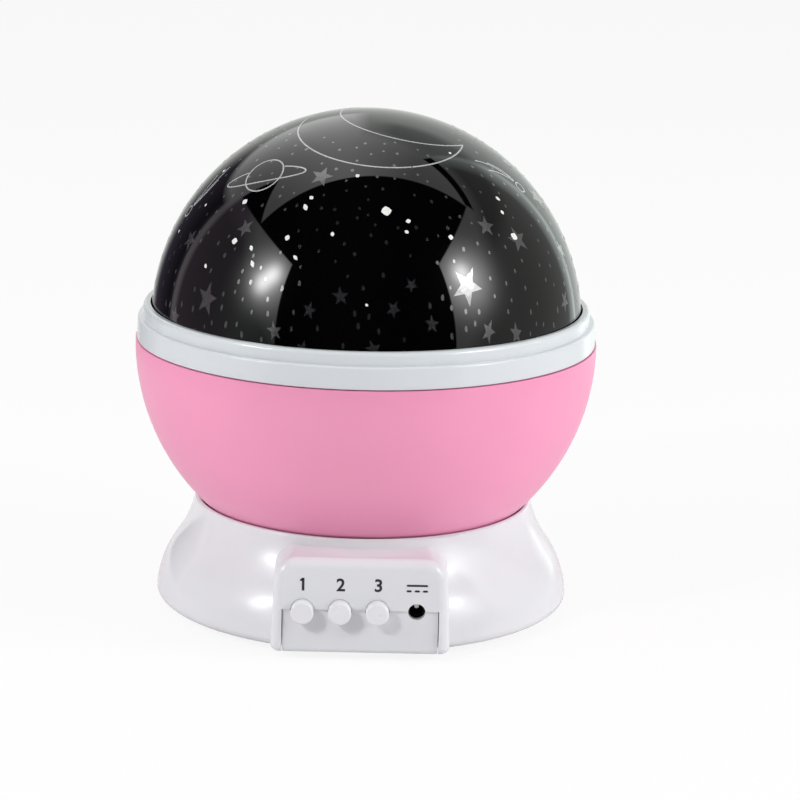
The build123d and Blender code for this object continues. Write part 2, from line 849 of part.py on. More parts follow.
def gear_face(teeth):
    """Outline of a spur gear on its axis, with a tooth on +X."""
    pitch = gear_module * teeth / 2
    root = pitch - root_depth * gear_module
    tip = pitch + tip_height * gear_module
    base = max(pitch * cos(radians(pressure_angle)), root)
    with BuildSketch() as tooth:
        with BuildLine():
            lower = ThreePointArc(
                flank(base, teeth, -1), flank((base + tip) / 2, teeth, -1), flank(tip, teeth, -1)
            )
            crown = ThreePointArc(lower @ 1, (tip, 0), flank(tip, teeth, 1))
            upper = ThreePointArc(crown @ 1, flank((base + tip) / 2, teeth, 1), flank(base, teeth, 1))
            Polyline(upper @ 1, (0, 0), lower @ 0)
        make_face()
    with BuildSketch() as gear:
        Circle(root)
        with PolarLocations(0, teeth):
            add(tooth.sketch)
    return gear


gear_screw_places = PolarLocations(gear_screw_circle, gear_screw_count, 30)
with BuildPart() as turntable_gear:
    with BuildSketch(Plane.XY.offset(bowl_floor)):
        add(gear_face(gear_teeth).sketch)
    extrude(amount=-gear_width)
    with BuildSketch(Plane.XY.offset(bowl_floor - gear_width)):
        Circle(gear_rim_inner)
    extrude(amount=gear_width - gear_web, mode=Mode.SUBTRACT)
    with BuildSketch(Plane.XY.offset(hub_bottom)):
        Circle(hub_radius)
    extrude(amount=bowl_floor - hub_bottom)
    with BuildSketch(Plane.XY.offset(bowl_floor)):
        Circle(post_radius + shaft_gap)
    extrude(amount=-gear_width, mode=Mode.SUBTRACT)
    with BuildSketch(Plane.XY.offset(bowl_floor)):
        with gear_screw_places:
            Circle(small_screw + screw_gap)
    extrude(amount=-gear_width, mode=Mode.SUBTRACT)
keep(turntable_gear, "turntable_gear")

with BuildPart() as drive_pinion:
    with BuildSketch(Plane.XY.offset(pinion_bottom)):
        with Locations(Location((*motor_at, 0), 180 / pinion_teeth)):
            add(gear_face(pinion_teeth).sketch)
    extrude(amount=pinion_width)
    with BuildSketch(Plane.XY.offset(pinion_bottom)):
        with Locations(motor_at):
            Circle(shaft_radius)
    extrude(amount=pinion_width, mode=Mode.SUBTRACT)
keep(drive_pinion, "drive_pinion")

with BuildPart() as motor_shaft:
    with BuildSketch(Plane.XY.offset(shaft_bottom + seat_gap)):
        with Locations(motor_at):
            Circle(shaft_radius)
    extrude(amount=pinion_bottom + pinion_width - shaft_bottom - seat_gap)
keep(motor_shaft, "motor_shaft")

# Bowl with its bearing hub
with BuildPart() as bowl:
    with BuildSketch(Plane.XZ) as bowl_form:
        add(bowl_outline(0, bowl_floor).sketch)
    revolve()
    fillet(bowl.edges().group_by(Axis.Z)[0], bowl_wall / 2)
    with BuildSketch(Plane.XZ):
        add(bowl_outline(bowl_wall, bowl_floor + bowl_wall).sketch)
    revolve(mode=Mode.SUBTRACT)
    with BuildSketch(Plane.XY.offset(bowl_floor)):
        Circle(hub_radius)
    extrude(amount=hub_top - bowl_floor)
    with BuildSketch(Plane.XY.offset(bowl_floor)):
        Circle(post_radius + shaft_gap)
    extrude(amount=hub_top - bowl_floor, mode=Mode.SUBTRACT)
    with BuildSketch(Plane.XY.offset(bowl_floor)):
        with gear_screw_places:
            Circle(small_screw + seat_gap)
    extrude(amount=bowl_wall, mode=Mode.SUBTRACT)
keep(bowl, "bowl")


gear_screws = screws(
    gear_screw_places,
    bowl_floor + bowl_wall,
    bowl_wall + gear_web - seat_gap,
    small_screw,
    small_screw_head,
    small_screw_head_height,
    way=-1,
)
keep(gear_screws, "gear_screws")

# Rim ring on the bowl's edge; its ledge carries the light plate
rim_skirt_bottom = bowl_edge - rim_skirt
rim_skirt_radius = bowl_side(rim_skirt_bottom, bowl_wall) - seat_gap
plate_screw_places = PolarLocations(plate_screw_circle, plate_screw_count, 90)
with BuildPart() as rim_ring:
    with BuildSketch(Plane.XZ) as rim:
        with BuildLine():
            Polyline(
                (rim_skirt_radius, rim_skirt_bottom),
                (rim_skirt_radius, rim_bottom),
                (bowl_radius - rim_overhang, rim_bottom),
                (rim_radius, rim_top),
                (rim_bore, rim_top),
                (rim_bore, light_plate_bottom),
                (rim_bore - rim_ledge, light_plate_bottom),
                (rim_bore - rim_ledge, light_plate_bottom - rim_ledge_thickness),
                (rim_skirt_radius - rim_skirt_wall, light_plate_bottom - rim_ledge_thickness),
                (rim_skirt_radius - rim_skirt_wall, rim_skirt_bottom),
                close=True,
            )
        make_face()
        fillet(rim.vertices().group_by(Axis.Y)[-1].sort_by(Axis.X)[-1], rim_round)
    revolve()
    with BuildSketch(Plane.XY.offset(light_plate_bottom)):
        with plate_screw_places:
            Circle(plate_boss_radius)
    extrude(amount=-plate_boss_depth)
    with BuildSketch(Plane.XY.offset(light_plate_bottom)):
        with plate_screw_places:
            Circle(small_screw + screw_gap)
    extrude(amount=-plate_boss_depth, mode=Mode.SUBTRACT)
keep(rim_ring, "rim_ring")

with BuildPart() as light_plate:
    with BuildSketch(Plane.XY.offset(light_plate_bottom)):
        Circle(rim_bore - joint_gap)
        Circle(plate_hole, mode=Mode.SUBTRACT)
        with plate_screw_places:
            Circle(small_screw + seat_gap, mode=Mode.SUBTRACT)
    extrude(amount=plate_disc)
    with BuildSketch(Plane.XY.offset(light_plate_bottom)):
        Circle(plate_hole + plate_lip)
        Circle(plate_hole, mode=Mode.SUBTRACT)
    extrude(amount=plate_disc + plate_lip_height)
keep(light_plate, "light_plate")

plate_screws = screws(
    plate_screw_places,
    light_plate_top,
    plate_disc + plate_boss_depth - seat_gap,
    small_screw,
    small_screw_head,
    small_screw_head_height,
    way=-1,
)
keep(plate_screws, "plate_screws")

# Dome ring, which lifts off with the dome
with BuildPart() as dome_ring:
    with BuildSketch(Plane.XZ) as ring:
        with BuildLine():
            Polyline(
                (rim_bore - joint_gap, dome_ring_bottom),
                (rim_bore - joint_gap, rim_top),
                (dome_ring_radius, rim_top),
                (dome_ring_radius, ring_top),
                (dome_seat_radius, ring_top),
                (dome_seat_radius, dome_bottom),
                (dome_seat_radius - dome_ledge, dome_bottom),
                (dome_seat_radius - dome_ledge, dome_ring_bottom),
                close=True,
            )
        make_face()
        fillet(ring.vertices().group_by(Axis.Y)[-1].sort_by(Axis.X)[-1], dome_ring_round)
    revolve()
keep(dome_ring, "dome_ring")

# Dome: a shell cut off just over its widest section
with BuildPart() as dome_shell:
    with BuildSketch(Plane.XZ):
        with Locations((0, dome_centre)):
            Circle(dome_radius)
            Circle(dome_radius - dome_wall, mode=Mode.SUBTRACT)
        with Locations((0, dome_bottom)):
            Rectangle(dome_radius, dome_radius, align=(Align.MIN, Align.MIN), mode=Mode.INTERSECT)
    revolve()
keep(dome_shell, "dome_shell")

# Lamp head on the post: holder, board, its screws and four lamps
led_screw_places = PolarLocations(led_screw_circle, 2)
with BuildPart() as led_holder:
    with BuildSketch(Plane.XY.offset(post_top)):
        Circle(holder_radius)
        Circle(holder_bore, mode=Mode.SUBTRACT)
    extrude(amount=holder_height)
    with BuildSketch(Plane.XY.offset(post_top)):
        Circle(post_bore - seat_gap)
        Circle(holder_bore, mode=Mode.SUBTRACT)
    extrude(amount=-holder_spigot)
    with BuildSketch(Plane.XY.offset(lamp_board_bottom)):
        with led_screw_places:
            Circle(led_screw + screw_gap)
    extrude(amount=-holder_height + seat_gap, mode=Mode.SUBTRACT)
keep(led_holder, "led_holder")

with BuildPart() as led_board:
    with BuildSketch(Plane.XY.offset(lamp_board_bottom)):
        Circle(lamp_board_radius)
        with led_screw_places:
            Circle(led_screw + seat_gap, mode=Mode.SUBTRACT)
    extrude(amount=lamp_board_thickness)
keep(led_board, "led_board")

led_screws = screws(
    led_screw_places,
    lamp_board_top,
    lamp_board_thickness + holder_height - 2 * seat_gap,
    led_screw,
    led_screw_head,
    led_screw_head_height,
    way=-1,
)
keep(led_screws, "led_screws")

for i, name in enumerate(["led_warm", "led_red", "led_green", "led_blue"]):
    around = radians(45 + 90 * i)
    place = (led_circle * cos(around), led_circle * sin(around))
    with BuildPart() as led:
        with BuildSketch(Plane.XY.offset(lamp_board_top)):
            with Locations(place):
                Circle(led_flange)
        extrude(amount=led_flange_height)
        with BuildSketch(Plane.XY.offset(lamp_board_top)):
            with Locations(place):
                Circle(led_radius)
        extrude(amount=led_height)
        fillet(led.edges().group_by(Axis.Z)[-1], led_radius - seat_gap)
    keep(led, name)
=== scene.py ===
import math
import random
from functools import partial
import bmesh
import bpy
from mathutils import Matrix, Vector


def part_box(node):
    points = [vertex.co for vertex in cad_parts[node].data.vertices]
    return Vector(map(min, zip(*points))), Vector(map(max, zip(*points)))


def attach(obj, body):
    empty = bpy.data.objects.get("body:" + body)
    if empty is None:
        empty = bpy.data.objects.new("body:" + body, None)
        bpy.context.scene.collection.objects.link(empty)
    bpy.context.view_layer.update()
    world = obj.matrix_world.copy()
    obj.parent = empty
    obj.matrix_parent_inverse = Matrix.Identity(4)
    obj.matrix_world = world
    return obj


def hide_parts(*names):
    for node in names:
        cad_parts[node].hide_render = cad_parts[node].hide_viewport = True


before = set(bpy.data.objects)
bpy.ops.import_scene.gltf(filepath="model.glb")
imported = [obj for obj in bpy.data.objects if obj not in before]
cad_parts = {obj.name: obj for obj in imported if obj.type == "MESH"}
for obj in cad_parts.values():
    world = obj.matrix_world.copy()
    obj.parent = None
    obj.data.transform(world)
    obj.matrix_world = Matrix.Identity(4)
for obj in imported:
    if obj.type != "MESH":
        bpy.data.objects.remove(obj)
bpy.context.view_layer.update()  # bodies, nodes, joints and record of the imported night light
mm = 0.001
tiny = 1e-6  # points nearer than this are one
print("frame: loaded", len(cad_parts), "nodes")


# One node with its settings and links: an input is a value, a socket, or a node for its first output
def addNode(tree, kind, inputs=None, **settings):
    node = tree.nodes.new(kind)
    for key, value in settings.items():
        setattr(node, key, value)
    for socket, value in (inputs or {}).items():
        if isinstance(value, bpy.types.Node):
            value = value.outputs[0]
        if isinstance(value, bpy.types.NodeSocket):
            tree.links.new(value, node.inputs[socket])
        else:
            node.inputs[socket].default_value = value
    return node


def linearFrom(hexColour):  # sRGB hex to the linear RGBA that the sockets take
    parts = [int(hexColour[i:i + 2], 16) / 255 for i in (1, 3, 5)]
    return [p / 12.92 if p <= 0.04045 else ((p + 0.055) / 1.055) ** 2.4 for p in parts] + [1.0]


def clearTree(owner):
    owner.use_nodes = True
    owner.node_tree.nodes.clear()
    return owner.node_tree


def meshPiece(name, mesh, material):
    piece = bpy.data.objects.new(name, mesh)
    bpy.context.scene.collection.objects.link(piece)
    piece.data.materials.clear()
    piece.data.materials.append(material)
    return piece


def plainMesh(source, name):  # the evaluated object as a plain mesh
    bpy.context.view_layer.update()
    graph = bpy.context.evaluated_depsgraph_get()
    mesh = bpy.data.meshes.new_from_object(source.evaluated_get(graph))
    mesh.name = name
    return mesh


def directionOf(azimuth, elevation):  # azimuth 0 is straight in front of the object, + to the right
    turn, rise = math.radians(azimuth), math.radians(elevation)
    return Vector((math.sin(turn) * math.cos(rise), -math.cos(turn) * math.cos(rise), math.sin(rise)))


# Camera, light tent and floor
studio = {
    "target": (0.0, 0.0, 72.84),  # mm, the point that the camera turns round
    "targetPixel": (366.0, 340.0),  # where the target shows in the frame
    "frameSide": 800.0,  # px
    "distance": 900.0,
    "elevation": 12.85,  # degrees above the floor
    "roll": 1.18,  # degrees
    "lens": 149.0,
    "sensor": 36.0,
    "clip": (0.05, 50.0),  # in metres
    "plainLight": (0.80, 0.06),  # what matt surfaces get from behind and from the front
    "floorSide": 8000.0,
    "floorLevel": -0.05,  # mm, just clear of the feet
    "floorColour": "#F4F3F4",
    "floorGlow": 0.88,  # share of the floor that shows as plain white to the camera
    "floorReach": 350.0,  # mm from the axis; past it a gloss shows the tent and not the floor
}

# What a gloss shows: pale walls and a ceiling round a dark opening in front. Places are directions from
# the object on a ball of radius 1, with x to the right, y to the back and z up
tent = {
    "softness": 0.006,  # half the width of the opening's edge
    "opening": 0.012,  # share of the light that is left in the opening
    "front": (  # planes through the object; the opening is where each group has one that faces it
        ((0.082, -0.990, 0.106),),  # ceiling
        ((0.668, 0.053, 0.742), (0.663, -0.749, 0.030)),  # left wall
        ((-0.757, -0.075, 0.649), (-0.669, -0.743, 0.000))),  # right wall
    "corners": (  # dark wedges between the ceiling and the walls, where all planes face it
        ((0.668, 0.053, 0.742), (-0.569, 0.540, -0.620), (-0.530, -0.848, 0.000)),
        ((-0.478, -0.652, 0.587), (0.488, 0.693, -0.530), (0.829, -0.559, 0.000), (-0.225, 0.974, 0.000))),
    "lid": (  # the ceiling is over both
        (0.569, -0.540, 0.620), (-0.488, -0.693, 0.530)),
    "lidSoft": 0.16,  # width of its edge
    "lidMiddle": -0.17,  # its brightest line, a little to the left
    "lidLight": ((0.05, 1.75), (0.45, 0.80)),  # distance from that line, light
    "backSide": (0.530, 0.848, 0.000),  # a screen behind on the left, in the directions that face this
    "backFrom": 0.67,  # height of its lower edge straight to the left
    "backSlope": 0.4,  # how much lower that edge gets towards the back
    "backSoft": 0.05,
    "walls": (  # azimuth in degrees, light, tint
        (-180, 0.95, "#FCFFFA"), (-166, 0.80, "#FCFFFA"), (-153, 0.10, "#F0DCFF"), (-131, 0.05, "#F0D8FF"),
        (-128, 0.10, "#F4E4FF"), (-126, 0.62, "#FFF4FF"), (-123, 0.62, "#FFF4FF"), (-120, 0.21, "#FFE8FF"),
        (-90, 0.27, "#FFEEFF"), (-72, 0.38, "#FAFFFE"), (-48, 0.30, "#FAFFFE"), (48, 0.45, "#FFFFF8"),
        (85, 0.51, "#FFFFFC"), (130, 0.45, "#FFFFFC"), (136, 0.46, "#F8FFFC"), (139, 0.95, "#F8FFFC"),
        (144, 1.50, "#F4FFFA"), (146, 2.30, "#F4FFFA"), (149, 1.15, "#F8FFFC"), (180, 0.95, "#FCFFFA")),
    "wallTop": (0.50, 0.60),  # between these heights the walls change
    "wallChange": (0.45, -0.42),  # by these shares, on the left and on the right
    "wallMiddle": 0.1,  # half the width of the step from left to right
    "lamps": (  # azimuth, elevation, light, how tight
        (-58.5, 28.8, 13.0, 300.0), (-63.0, 23.0, 12.0, 300.0), (-60.5, 26.0, 6.0, 48.0),
        (60.0, 31.0, 12.0, 300.0), (61.0, 27.0, 7.0, 38.0)),
}


def makeCamera(s):
    data = bpy.data.cameras.new("camera")
    data.lens = s["lens"]
    data.sensor_width = s["sensor"]
    middle = s["frameSide"] / 2
    data.shift_x = (middle - s["targetPixel"][0]) / s["frameSide"]
    data.shift_y = (s["targetPixel"][1] - middle) / s["frameSide"]
    data.clip_start, data.clip_end = s["clip"]
    camera = bpy.data.objects.new("camera", data)
    back = directionOf(0, s["elevation"])
    camera.location = (Vector(s["target"]) + back * s["distance"]) * mm
    level = (-back).to_track_quat("-Z", "Y").to_matrix().to_4x4()
    camera.rotation_euler = (level @ Matrix.Rotation(math.radians(s["roll"]), 4, "Z")).to_euler()
    bpy.context.scene.collection.objects.link(camera)
    bpy.context.scene.camera = camera


def makeWorld(s, t):
    world = bpy.data.worlds.new("lightTent")
    bpy.context.scene.world = world
    add = partial(addNode, clearTree(world))
    way = add("ShaderNodeTexCoord").outputs["Generated"]
    right, back, up = add("ShaderNodeSeparateXYZ", {0: way}).outputs

    def towards(direction):  # 1 straight at the direction, 0 at right angles, -1 away from it
        return add("ShaderNodeVectorMath", {0: way, 1: direction}, operation="DOT_PRODUCT").outputs["Value"]

    # The least or the most of the parts, where a direction stands for how far the way turns towards it
    def fold(operation, parts):
        first, *rest = [towards(part) if isinstance(part, tuple) else part for part in parts]
        for other in rest:
            first = add("ShaderNodeMath", {0: first, 1: other}, operation=operation)
        return first

    dark = fold("MINIMUM", [fold("MAXIMUM", group) for group in t["front"]])
    for corner in t["corners"]:
        dark = fold("MAXIMUM", [dark, fold("MINIMUM", corner)])
    shown = add("ShaderNodeMapRange", {"Value": dark, "From Min": t["softness"], "From Max": -t["softness"],
                                       "To Min": t["opening"]})

    # walls by azimuth, and their change with height
    front = add("ShaderNodeMath", {0: back, 1: -1.0}, operation="MULTIPLY")
    turn = add("ShaderNodeMath", {0: right, 1: front}, operation="ARCTAN2")
    share = add("ShaderNodeMath", {0: turn, 1: math.tau}, operation="DIVIDE")
    around = add("ShaderNodeMath", {0: share, 1: 0.5}, operation="ADD")
    ramp = add("ShaderNodeValToRGB", {0: around})
    top = max(light for azimuth, light, tint in t["walls"])
    points = ramp.color_ramp.elements
    while len(points) < len(t["walls"]):
        points.new(0.5)
    for point, (azimuth, light, tint) in zip(points, t["walls"]):
        point.position = azimuth / 360 + 0.5
        point.color = [part * light / top for part in linearFrom(tint)[:3]] + [1.0]
    change = add("ShaderNodeMapRange", {
        "Value": right, "From Min": -t["wallMiddle"], "From Max": t["wallMiddle"],
        "To Min": t["wallChange"][0], "To Max": t["wallChange"][1]})
    low, high = t["wallTop"]
    height = add("ShaderNodeMapRange", {"Value": up, "From Min": low, "From Max": high})
    level = add("ShaderNodeMath", {0: height, 1: change, 2: 1.0}, operation="MULTIPLY_ADD")
    strength = add("ShaderNodeMath", {0: level, 1: top}, operation="MULTIPLY")
    walls = add("ShaderNodeVectorMath", {0: ramp, "Scale": strength}, operation="SCALE")

    # ceiling, and the screen behind on the left
    aside = add("ShaderNodeMath", {0: right, 1: t["lidMiddle"]}, operation="SUBTRACT")
    away = add("ShaderNodeMath", {0: aside}, operation="ABSOLUTE")
    (near, nearLight), (far, farLight) = t["lidLight"]
    lidLight = add("ShaderNodeMapRange", {"Value": away, "From Min": near, "From Max": far,
                                          "To Min": nearLight, "To Max": farLight})
    over = add("ShaderNodeMapRange", {"Value": fold("MINIMUM", t["lid"]), "From Min": -t["lidSoft"],
                                      "From Max": 0.0})
    slope = add("ShaderNodeMath", {0: back, 1: t["backSlope"], 2: up}, operation="MULTIPLY_ADD")
    rise = add("ShaderNodeMath", {0: slope, 1: t["backFrom"]}, operation="SUBTRACT")
    left = (-1.0, 0.0, 0.0)
    screen = fold("MINIMUM", [rise, t["backSide"], left])
    isScreen = add("ShaderNodeMapRange", {"Value": screen, "From Max": t["backSoft"]})
    isLid = fold("MAXIMUM", [over, isScreen])
    plain = add("ShaderNodeMix", {0: isLid, 4: walls, 5: lidLight}, data_type="VECTOR").outputs[1]

    # lamps in the tent, and then what each kind of ray gets
    glow = 0.0
    for azimuth, elevation, light, tight in t["lamps"]:
        facing = fold("MAXIMUM", [towards(directionOf(azimuth, elevation)), 0.0])
        spot = add("ShaderNodeMath", {0: facing, 1: tight}, operation="POWER")
        glow = add("ShaderNodeMath", {0: spot, 1: light, 2: glow}, operation="MULTIPLY_ADD")
    lit = add("ShaderNodeVectorMath", {0: plain, 1: glow}, operation="ADD")
    gloss = add("ShaderNodeVectorMath", {0: lit, "Scale": shown}, operation="SCALE")
    behind, before = s["plainLight"]
    matt = add("ShaderNodeMapRange", {"Value": front, "From Min": -1.0, "To Min": behind, "To Max": before})
    ray = add("ShaderNodeLightPath").outputs
    light = add("ShaderNodeMix", {0: ray["Is Glossy Ray"], 4: matt, 5: gloss}, data_type="VECTOR").outputs[1]
    seen = fold("MAXIMUM", [ray["Is Camera Ray"], ray["Is Transmission Ray"]])
    colour = add("ShaderNodeMix", {0: seen, 4: light, 5: (1.0, 1.0, 1.0)}, data_type="VECTOR").outputs[1]
    background = add("ShaderNodeBackground", {"Color": colour, "Strength": 1.0})
    add("ShaderNodeOutputWorld", {"Surface": background})


def makeFloor(s):
    material = bpy.data.materials.new("paleFloor")
    add = partial(addNode, clearTree(material))
    ray = add("ShaderNodeLightPath").outputs
    share = add("ShaderNodeMath", {0: ray["Is Camera Ray"], 1: s["floorGlow"]}, operation="MULTIPLY")
    matt = add("ShaderNodeBsdfDiffuse", {"Color": linearFrom(s["floorColour"])})
    white = add("ShaderNodeEmission", {"Strength": 1.0})
    near = add("ShaderNodeMixShader", {0: share, 1: matt, 2: white})

    # past its reach the floor lets a gloss through to the tent
    place = add("ShaderNodeTexCoord").outputs["Object"]
    far = add("ShaderNodeVectorMath", {0: place}, operation="LENGTH").outputs["Value"]
    past = add("ShaderNodeMath", {0: far, 1: s["floorReach"] * mm}, operation="GREATER_THAN")
    gone = add("ShaderNodeMath", {0: past, 1: ray["Is Glossy Ray"]}, operation="MULTIPLY")
    clear = add("ShaderNodeBsdfTransparent")
    final = add("ShaderNodeMixShader", {0: gone, 1: near, 2: clear})
    add("ShaderNodeOutputMaterial", {"Surface": final})
    half, level = s["floorSide"] / 2 * mm, s["floorLevel"] * mm
    corners = [(x * half, y * half, level) for x, y in ((-1, -1), (1, -1), (1, 1), (-1, 1))]
    mesh = bpy.data.meshes.new("floor")
    mesh.from_pydata(corners, [], [(0, 1, 2, 3)])
    meshPiece("floor", mesh, material)


lampAim = (0, 0, 60)  # mm
lamps = {  # soft boxes: place in mm, side in mm, power in watts; the small key throws the buttons' shadows
    "lampRight": {"place": (1150, -380, 600), "side": 700, "power": 12.6},
    "lampLeft": {"place": (-1150, -300, 700), "side": 600, "power": 5.2},
    "lampKey": {"place": (-720, -760, 760), "side": 130, "power": 5.0},
}


def makeLamps(lampSet, aim):
    for name, lamp in lampSet.items():
        data = bpy.data.lights.new(name, "AREA")
        data.size = lamp["side"] * mm
        data.energy = lamp["power"]
        light = bpy.data.objects.new(name, data)
        light.location = Vector(lamp["place"]) * mm
        light.rotation_euler = (Vector(aim) * mm - light.location).to_track_quat("-Z", "Y").to_euler()
        light.visible_glossy = False  # the tent's walls are what shines back
        bpy.context.scene.collection.objects.link(light)


bpy.context.scene.view_settings.view_transform = "Standard"
makeCamera(studio)
makeWorld(studio, tent)
makeFloor(studio)
makeLamps(lamps, lampAim)
print("studio: camera, tent, floor and lamps")


# Finishes. cloud is the size in mm of the slow change in colour and gloss, grain that of the fine waves
surface = {"cloudDetail": 2.0, "grainDetail": 3.0, "coatRough": 0.12,
           "grainDepth": 0.1}  # depth of a fine wave, as a share of its size
plastics = {
    # ABS from a clean polished tool: near white, crisp small highlights
    "glossAbsWhite": {"colour": "#DDDFE2", "shade": "#D8DADD", "rough": (0.09, 0.13), "cloud": 30,
                      "grain": 0.9, "bump": 0.03, "ior": 1.53, "shine": 0.28},
    # the rings' white: a slightly cooler tint of its own, and a little greyer than the base as painted shade
    # on the rings
    "shadedCoolAbsWhite": {"colour": "#D7DCDF", "shade": "#D2D7DA", "rough": (0.14, 0.2), "cloud": 30,
                     "grain": 0.9, "bump": 0.03, "ior": 1.53, "shine": 0.6},
    # same resin with pink masterbatch and a softer polish: broad, milky highlights
    "satinAbsPink": {"colour": "#EE92B8", "shade": "#EB8DB3", "rough": (0.32, 0.40), "cloud": 35,
                     "grain": 0.9, "bump": 0.05, "ior": 1.53, "shine": 1.0},
    # ABS from a finely blasted tool: white with a soft, wide highlight
    "satinAbsButton": {"colour": "#E4E5E8", "shade": "#DEDFE2", "rough": (0.25, 0.32), "cloud": 6,
                       "grain": 0.6, "bump": 0.04, "ior": 1.53},
    # smoke dark crystal styrene, mirror polished: black with sharp reflections
    "smokeStyrene": {"colour": "#020203", "shade": "#010102", "rough": (0.015, 0.03), "cloud": 40,
                     "grain": 1.2, "bump": 0.003, "ior": 1.5},
    # clear styrene windows in the dark dome: grey, and brighter than it under a light
    "clearStyrene": {"colour": "#262628", "shade": "#19191B", "rough": (0.18, 0.26), "cloud": 2.5,
                     "grain": 0.5, "bump": 0.1, "ior": 1.59, "shine": 1.0, "coat": 0.6},
    # painted glints: plain white spots that stand in for light shining through the dome's windows, duller
    # than the dome round it
    "paintedGlintWhite": {"colour": "#F2F1EE", "shade": "#DCDBD8", "rough": (0.3, 0.4), "cloud": 0.8,
                    "grain": 0.2, "bump": 0.1, "ior": 1.5},
    # silver pad ink in thin lines: pale where it lies thick, grey where it lies thin
    "silverPadInk": {"colour": "#C6C7C8", "shade": "#8E8F91", "rough": (0.2, 0.3), "cloud": 3.0,
                     "grain": 0.2, "bump": 0.1, "ior": 1.5, "shine": 1.0},
    # dark grey pad ink, flat and slightly uneven
    "darkPadInk": {"colour": "#201F26", "shade": "#1B1A20", "rough": (0.4, 0.5), "cloud": 1,
                   "grain": 0.2, "bump": 0.1, "ior": 1.5},
    # moulded silicone: dull and milky, with hardly a highlight
    "siliconeRubber": {"colour": "#D3D3D2", "shade": "#C6C6C5", "rough": (0.5, 0.65), "cloud": 3,
                       "grain": 0.4, "bump": 0.2, "ior": 1.41},
    # filled polyester of the switches: a dull, faintly grained black
    "blackPbt": {"colour": "#1B1B1C", "shade": "#161617", "rough": (0.35, 0.5), "cloud": 4,
                 "grain": 0.3, "bump": 0.2, "ior": 1.56},
    # the same black resin from a polished tool, set a deeper black as painted shade, so that the inlet reads
    # as a hole
    "shadedBlackJackPbt": {"colour": "#070707", "shade": "#050505", "rough": (0.2, 0.3), "cloud": 4,
                     "grain": 0.3, "bump": 0.1, "ior": 1.56},
    # cured solder mask on a board: even green, half gloss
    "solderMask": {"colour": "#1F6B3E", "shade": "#1A5F36", "rough": (0.25, 0.35), "cloud": 5,
                   "grain": 0.25, "bump": 0.1, "ior": 1.5},
    # shrunk sleeve of a cell: slate grey with slow glossy waves
    "pvcSleeve": {"colour": "#5D6670", "shade": "#545D67", "rough": (0.2, 0.3), "cloud": 12,
                  "grain": 0.8, "bump": 0.05, "ior": 1.54},
    # moulded acetal of the gears: waxy off-white
    "naturalAcetal": {"colour": "#E9E6DC", "shade": "#E0DCD0", "rough": (0.35, 0.45), "cloud": 5,
                      "grain": 0.3, "bump": 0.1, "ior": 1.48},
    # moulded polypropylene inside the housings: plain matt white
    "mattPolypropylene": {"colour": "#E4E4E3", "shade": "#DDDDDC", "rough": (0.4, 0.5), "cloud": 12,
                          "grain": 0.4, "bump": 0.15, "ior": 1.49},
}
lensColours = {"Warm": ("#EFE3B4", "#E6D8A4"), "Red": ("#C9302C", "#B92824"),
               "Green": ("#35A85B", "#2C9A50"), "Blue": ("#2F55C8", "#274BB8")}
# cast epoxy, tinted through: strong colours with a wet gloss
for lamp, (body, shade) in lensColours.items():
    plastics["lensEpoxy" + lamp] = {"colour": body, "shade": shade, "rough": (0.08, 0.12), "cloud": 2,
                                    "grain": 0.5, "bump": 0.02, "ior": 1.52}
metals = {  # stretch squeezes the grain along an axis, so that its lines run across that axis
    # nickel plated spring steel of the contacts: warm silver with fine drawn lines
    "nickelSpring": {"colour": "#C9C7C0", "shade": "#B5B3AC", "rough": (0.2, 0.35), "grain": 0.3,
                     "stretch": (1, 1, 6)},
    # zinc plated steel: cool grey, faintly frosted
    "zincScrew": {"colour": "#B7B9BC", "shade": "#9FA1A5", "rough": (0.25, 0.4), "grain": 0.2,
                  "stretch": (1, 1, 1)},
    # a ground shaft: bright, with fine lines round it
    "groundSteel": {"colour": "#C3C5C8", "shade": "#ADAFB2", "rough": (0.15, 0.25), "grain": 0.15,
                    "stretch": (1, 1, 8)},
    # drawn and nickel plated can: softer lines round it
    "nickelCan": {"colour": "#BDBDBF", "shade": "#A5A6A8", "rough": (0.2, 0.35), "grain": 0.4,
                  "stretch": (1, 1, 5)},
}


def mouldedPlastic(name, look):
    material = bpy.data.materials.new(name)
    add = partial(addNode, clearTree(material))
    place = add("ShaderNodeTexCoord").outputs["Object"]
    cloud = add("ShaderNodeTexNoise", {"Vector": place, "Scale": 1 / (look["cloud"] * mm),
                                       "Detail": surface["cloudDetail"]})
    tint = add("ShaderNodeMix", {0: cloud, 6: linearFrom(look["colour"]), 7: linearFrom(look["shade"])},
               data_type="RGBA")
    low, high = look["rough"]
    rough = add("ShaderNodeMapRange", {"Value": cloud, "To Min": low, "To Max": high})
    grain = add("ShaderNodeTexNoise", {"Vector": place, "Scale": 1 / (look["grain"] * mm),
                                       "Detail": surface["grainDetail"]})
    bump = add("ShaderNodeBump", {"Height": grain, "Strength": look["bump"],
                                  "Distance": look["grain"] * mm * surface["grainDepth"]})
    shader = add("ShaderNodeBsdfPrincipled", {
        "Base Color": tint.outputs[2], "Roughness": rough, "Normal": bump, "IOR": look["ior"],
        "Specular IOR Level": look.get("shine", 0.5), "Coat Weight": look.get("coat", 0.0),
        "Coat Roughness": surface["coatRough"], "Coat IOR": look["ior"]})
    add("ShaderNodeOutputMaterial", {"Surface": shader})
    return material


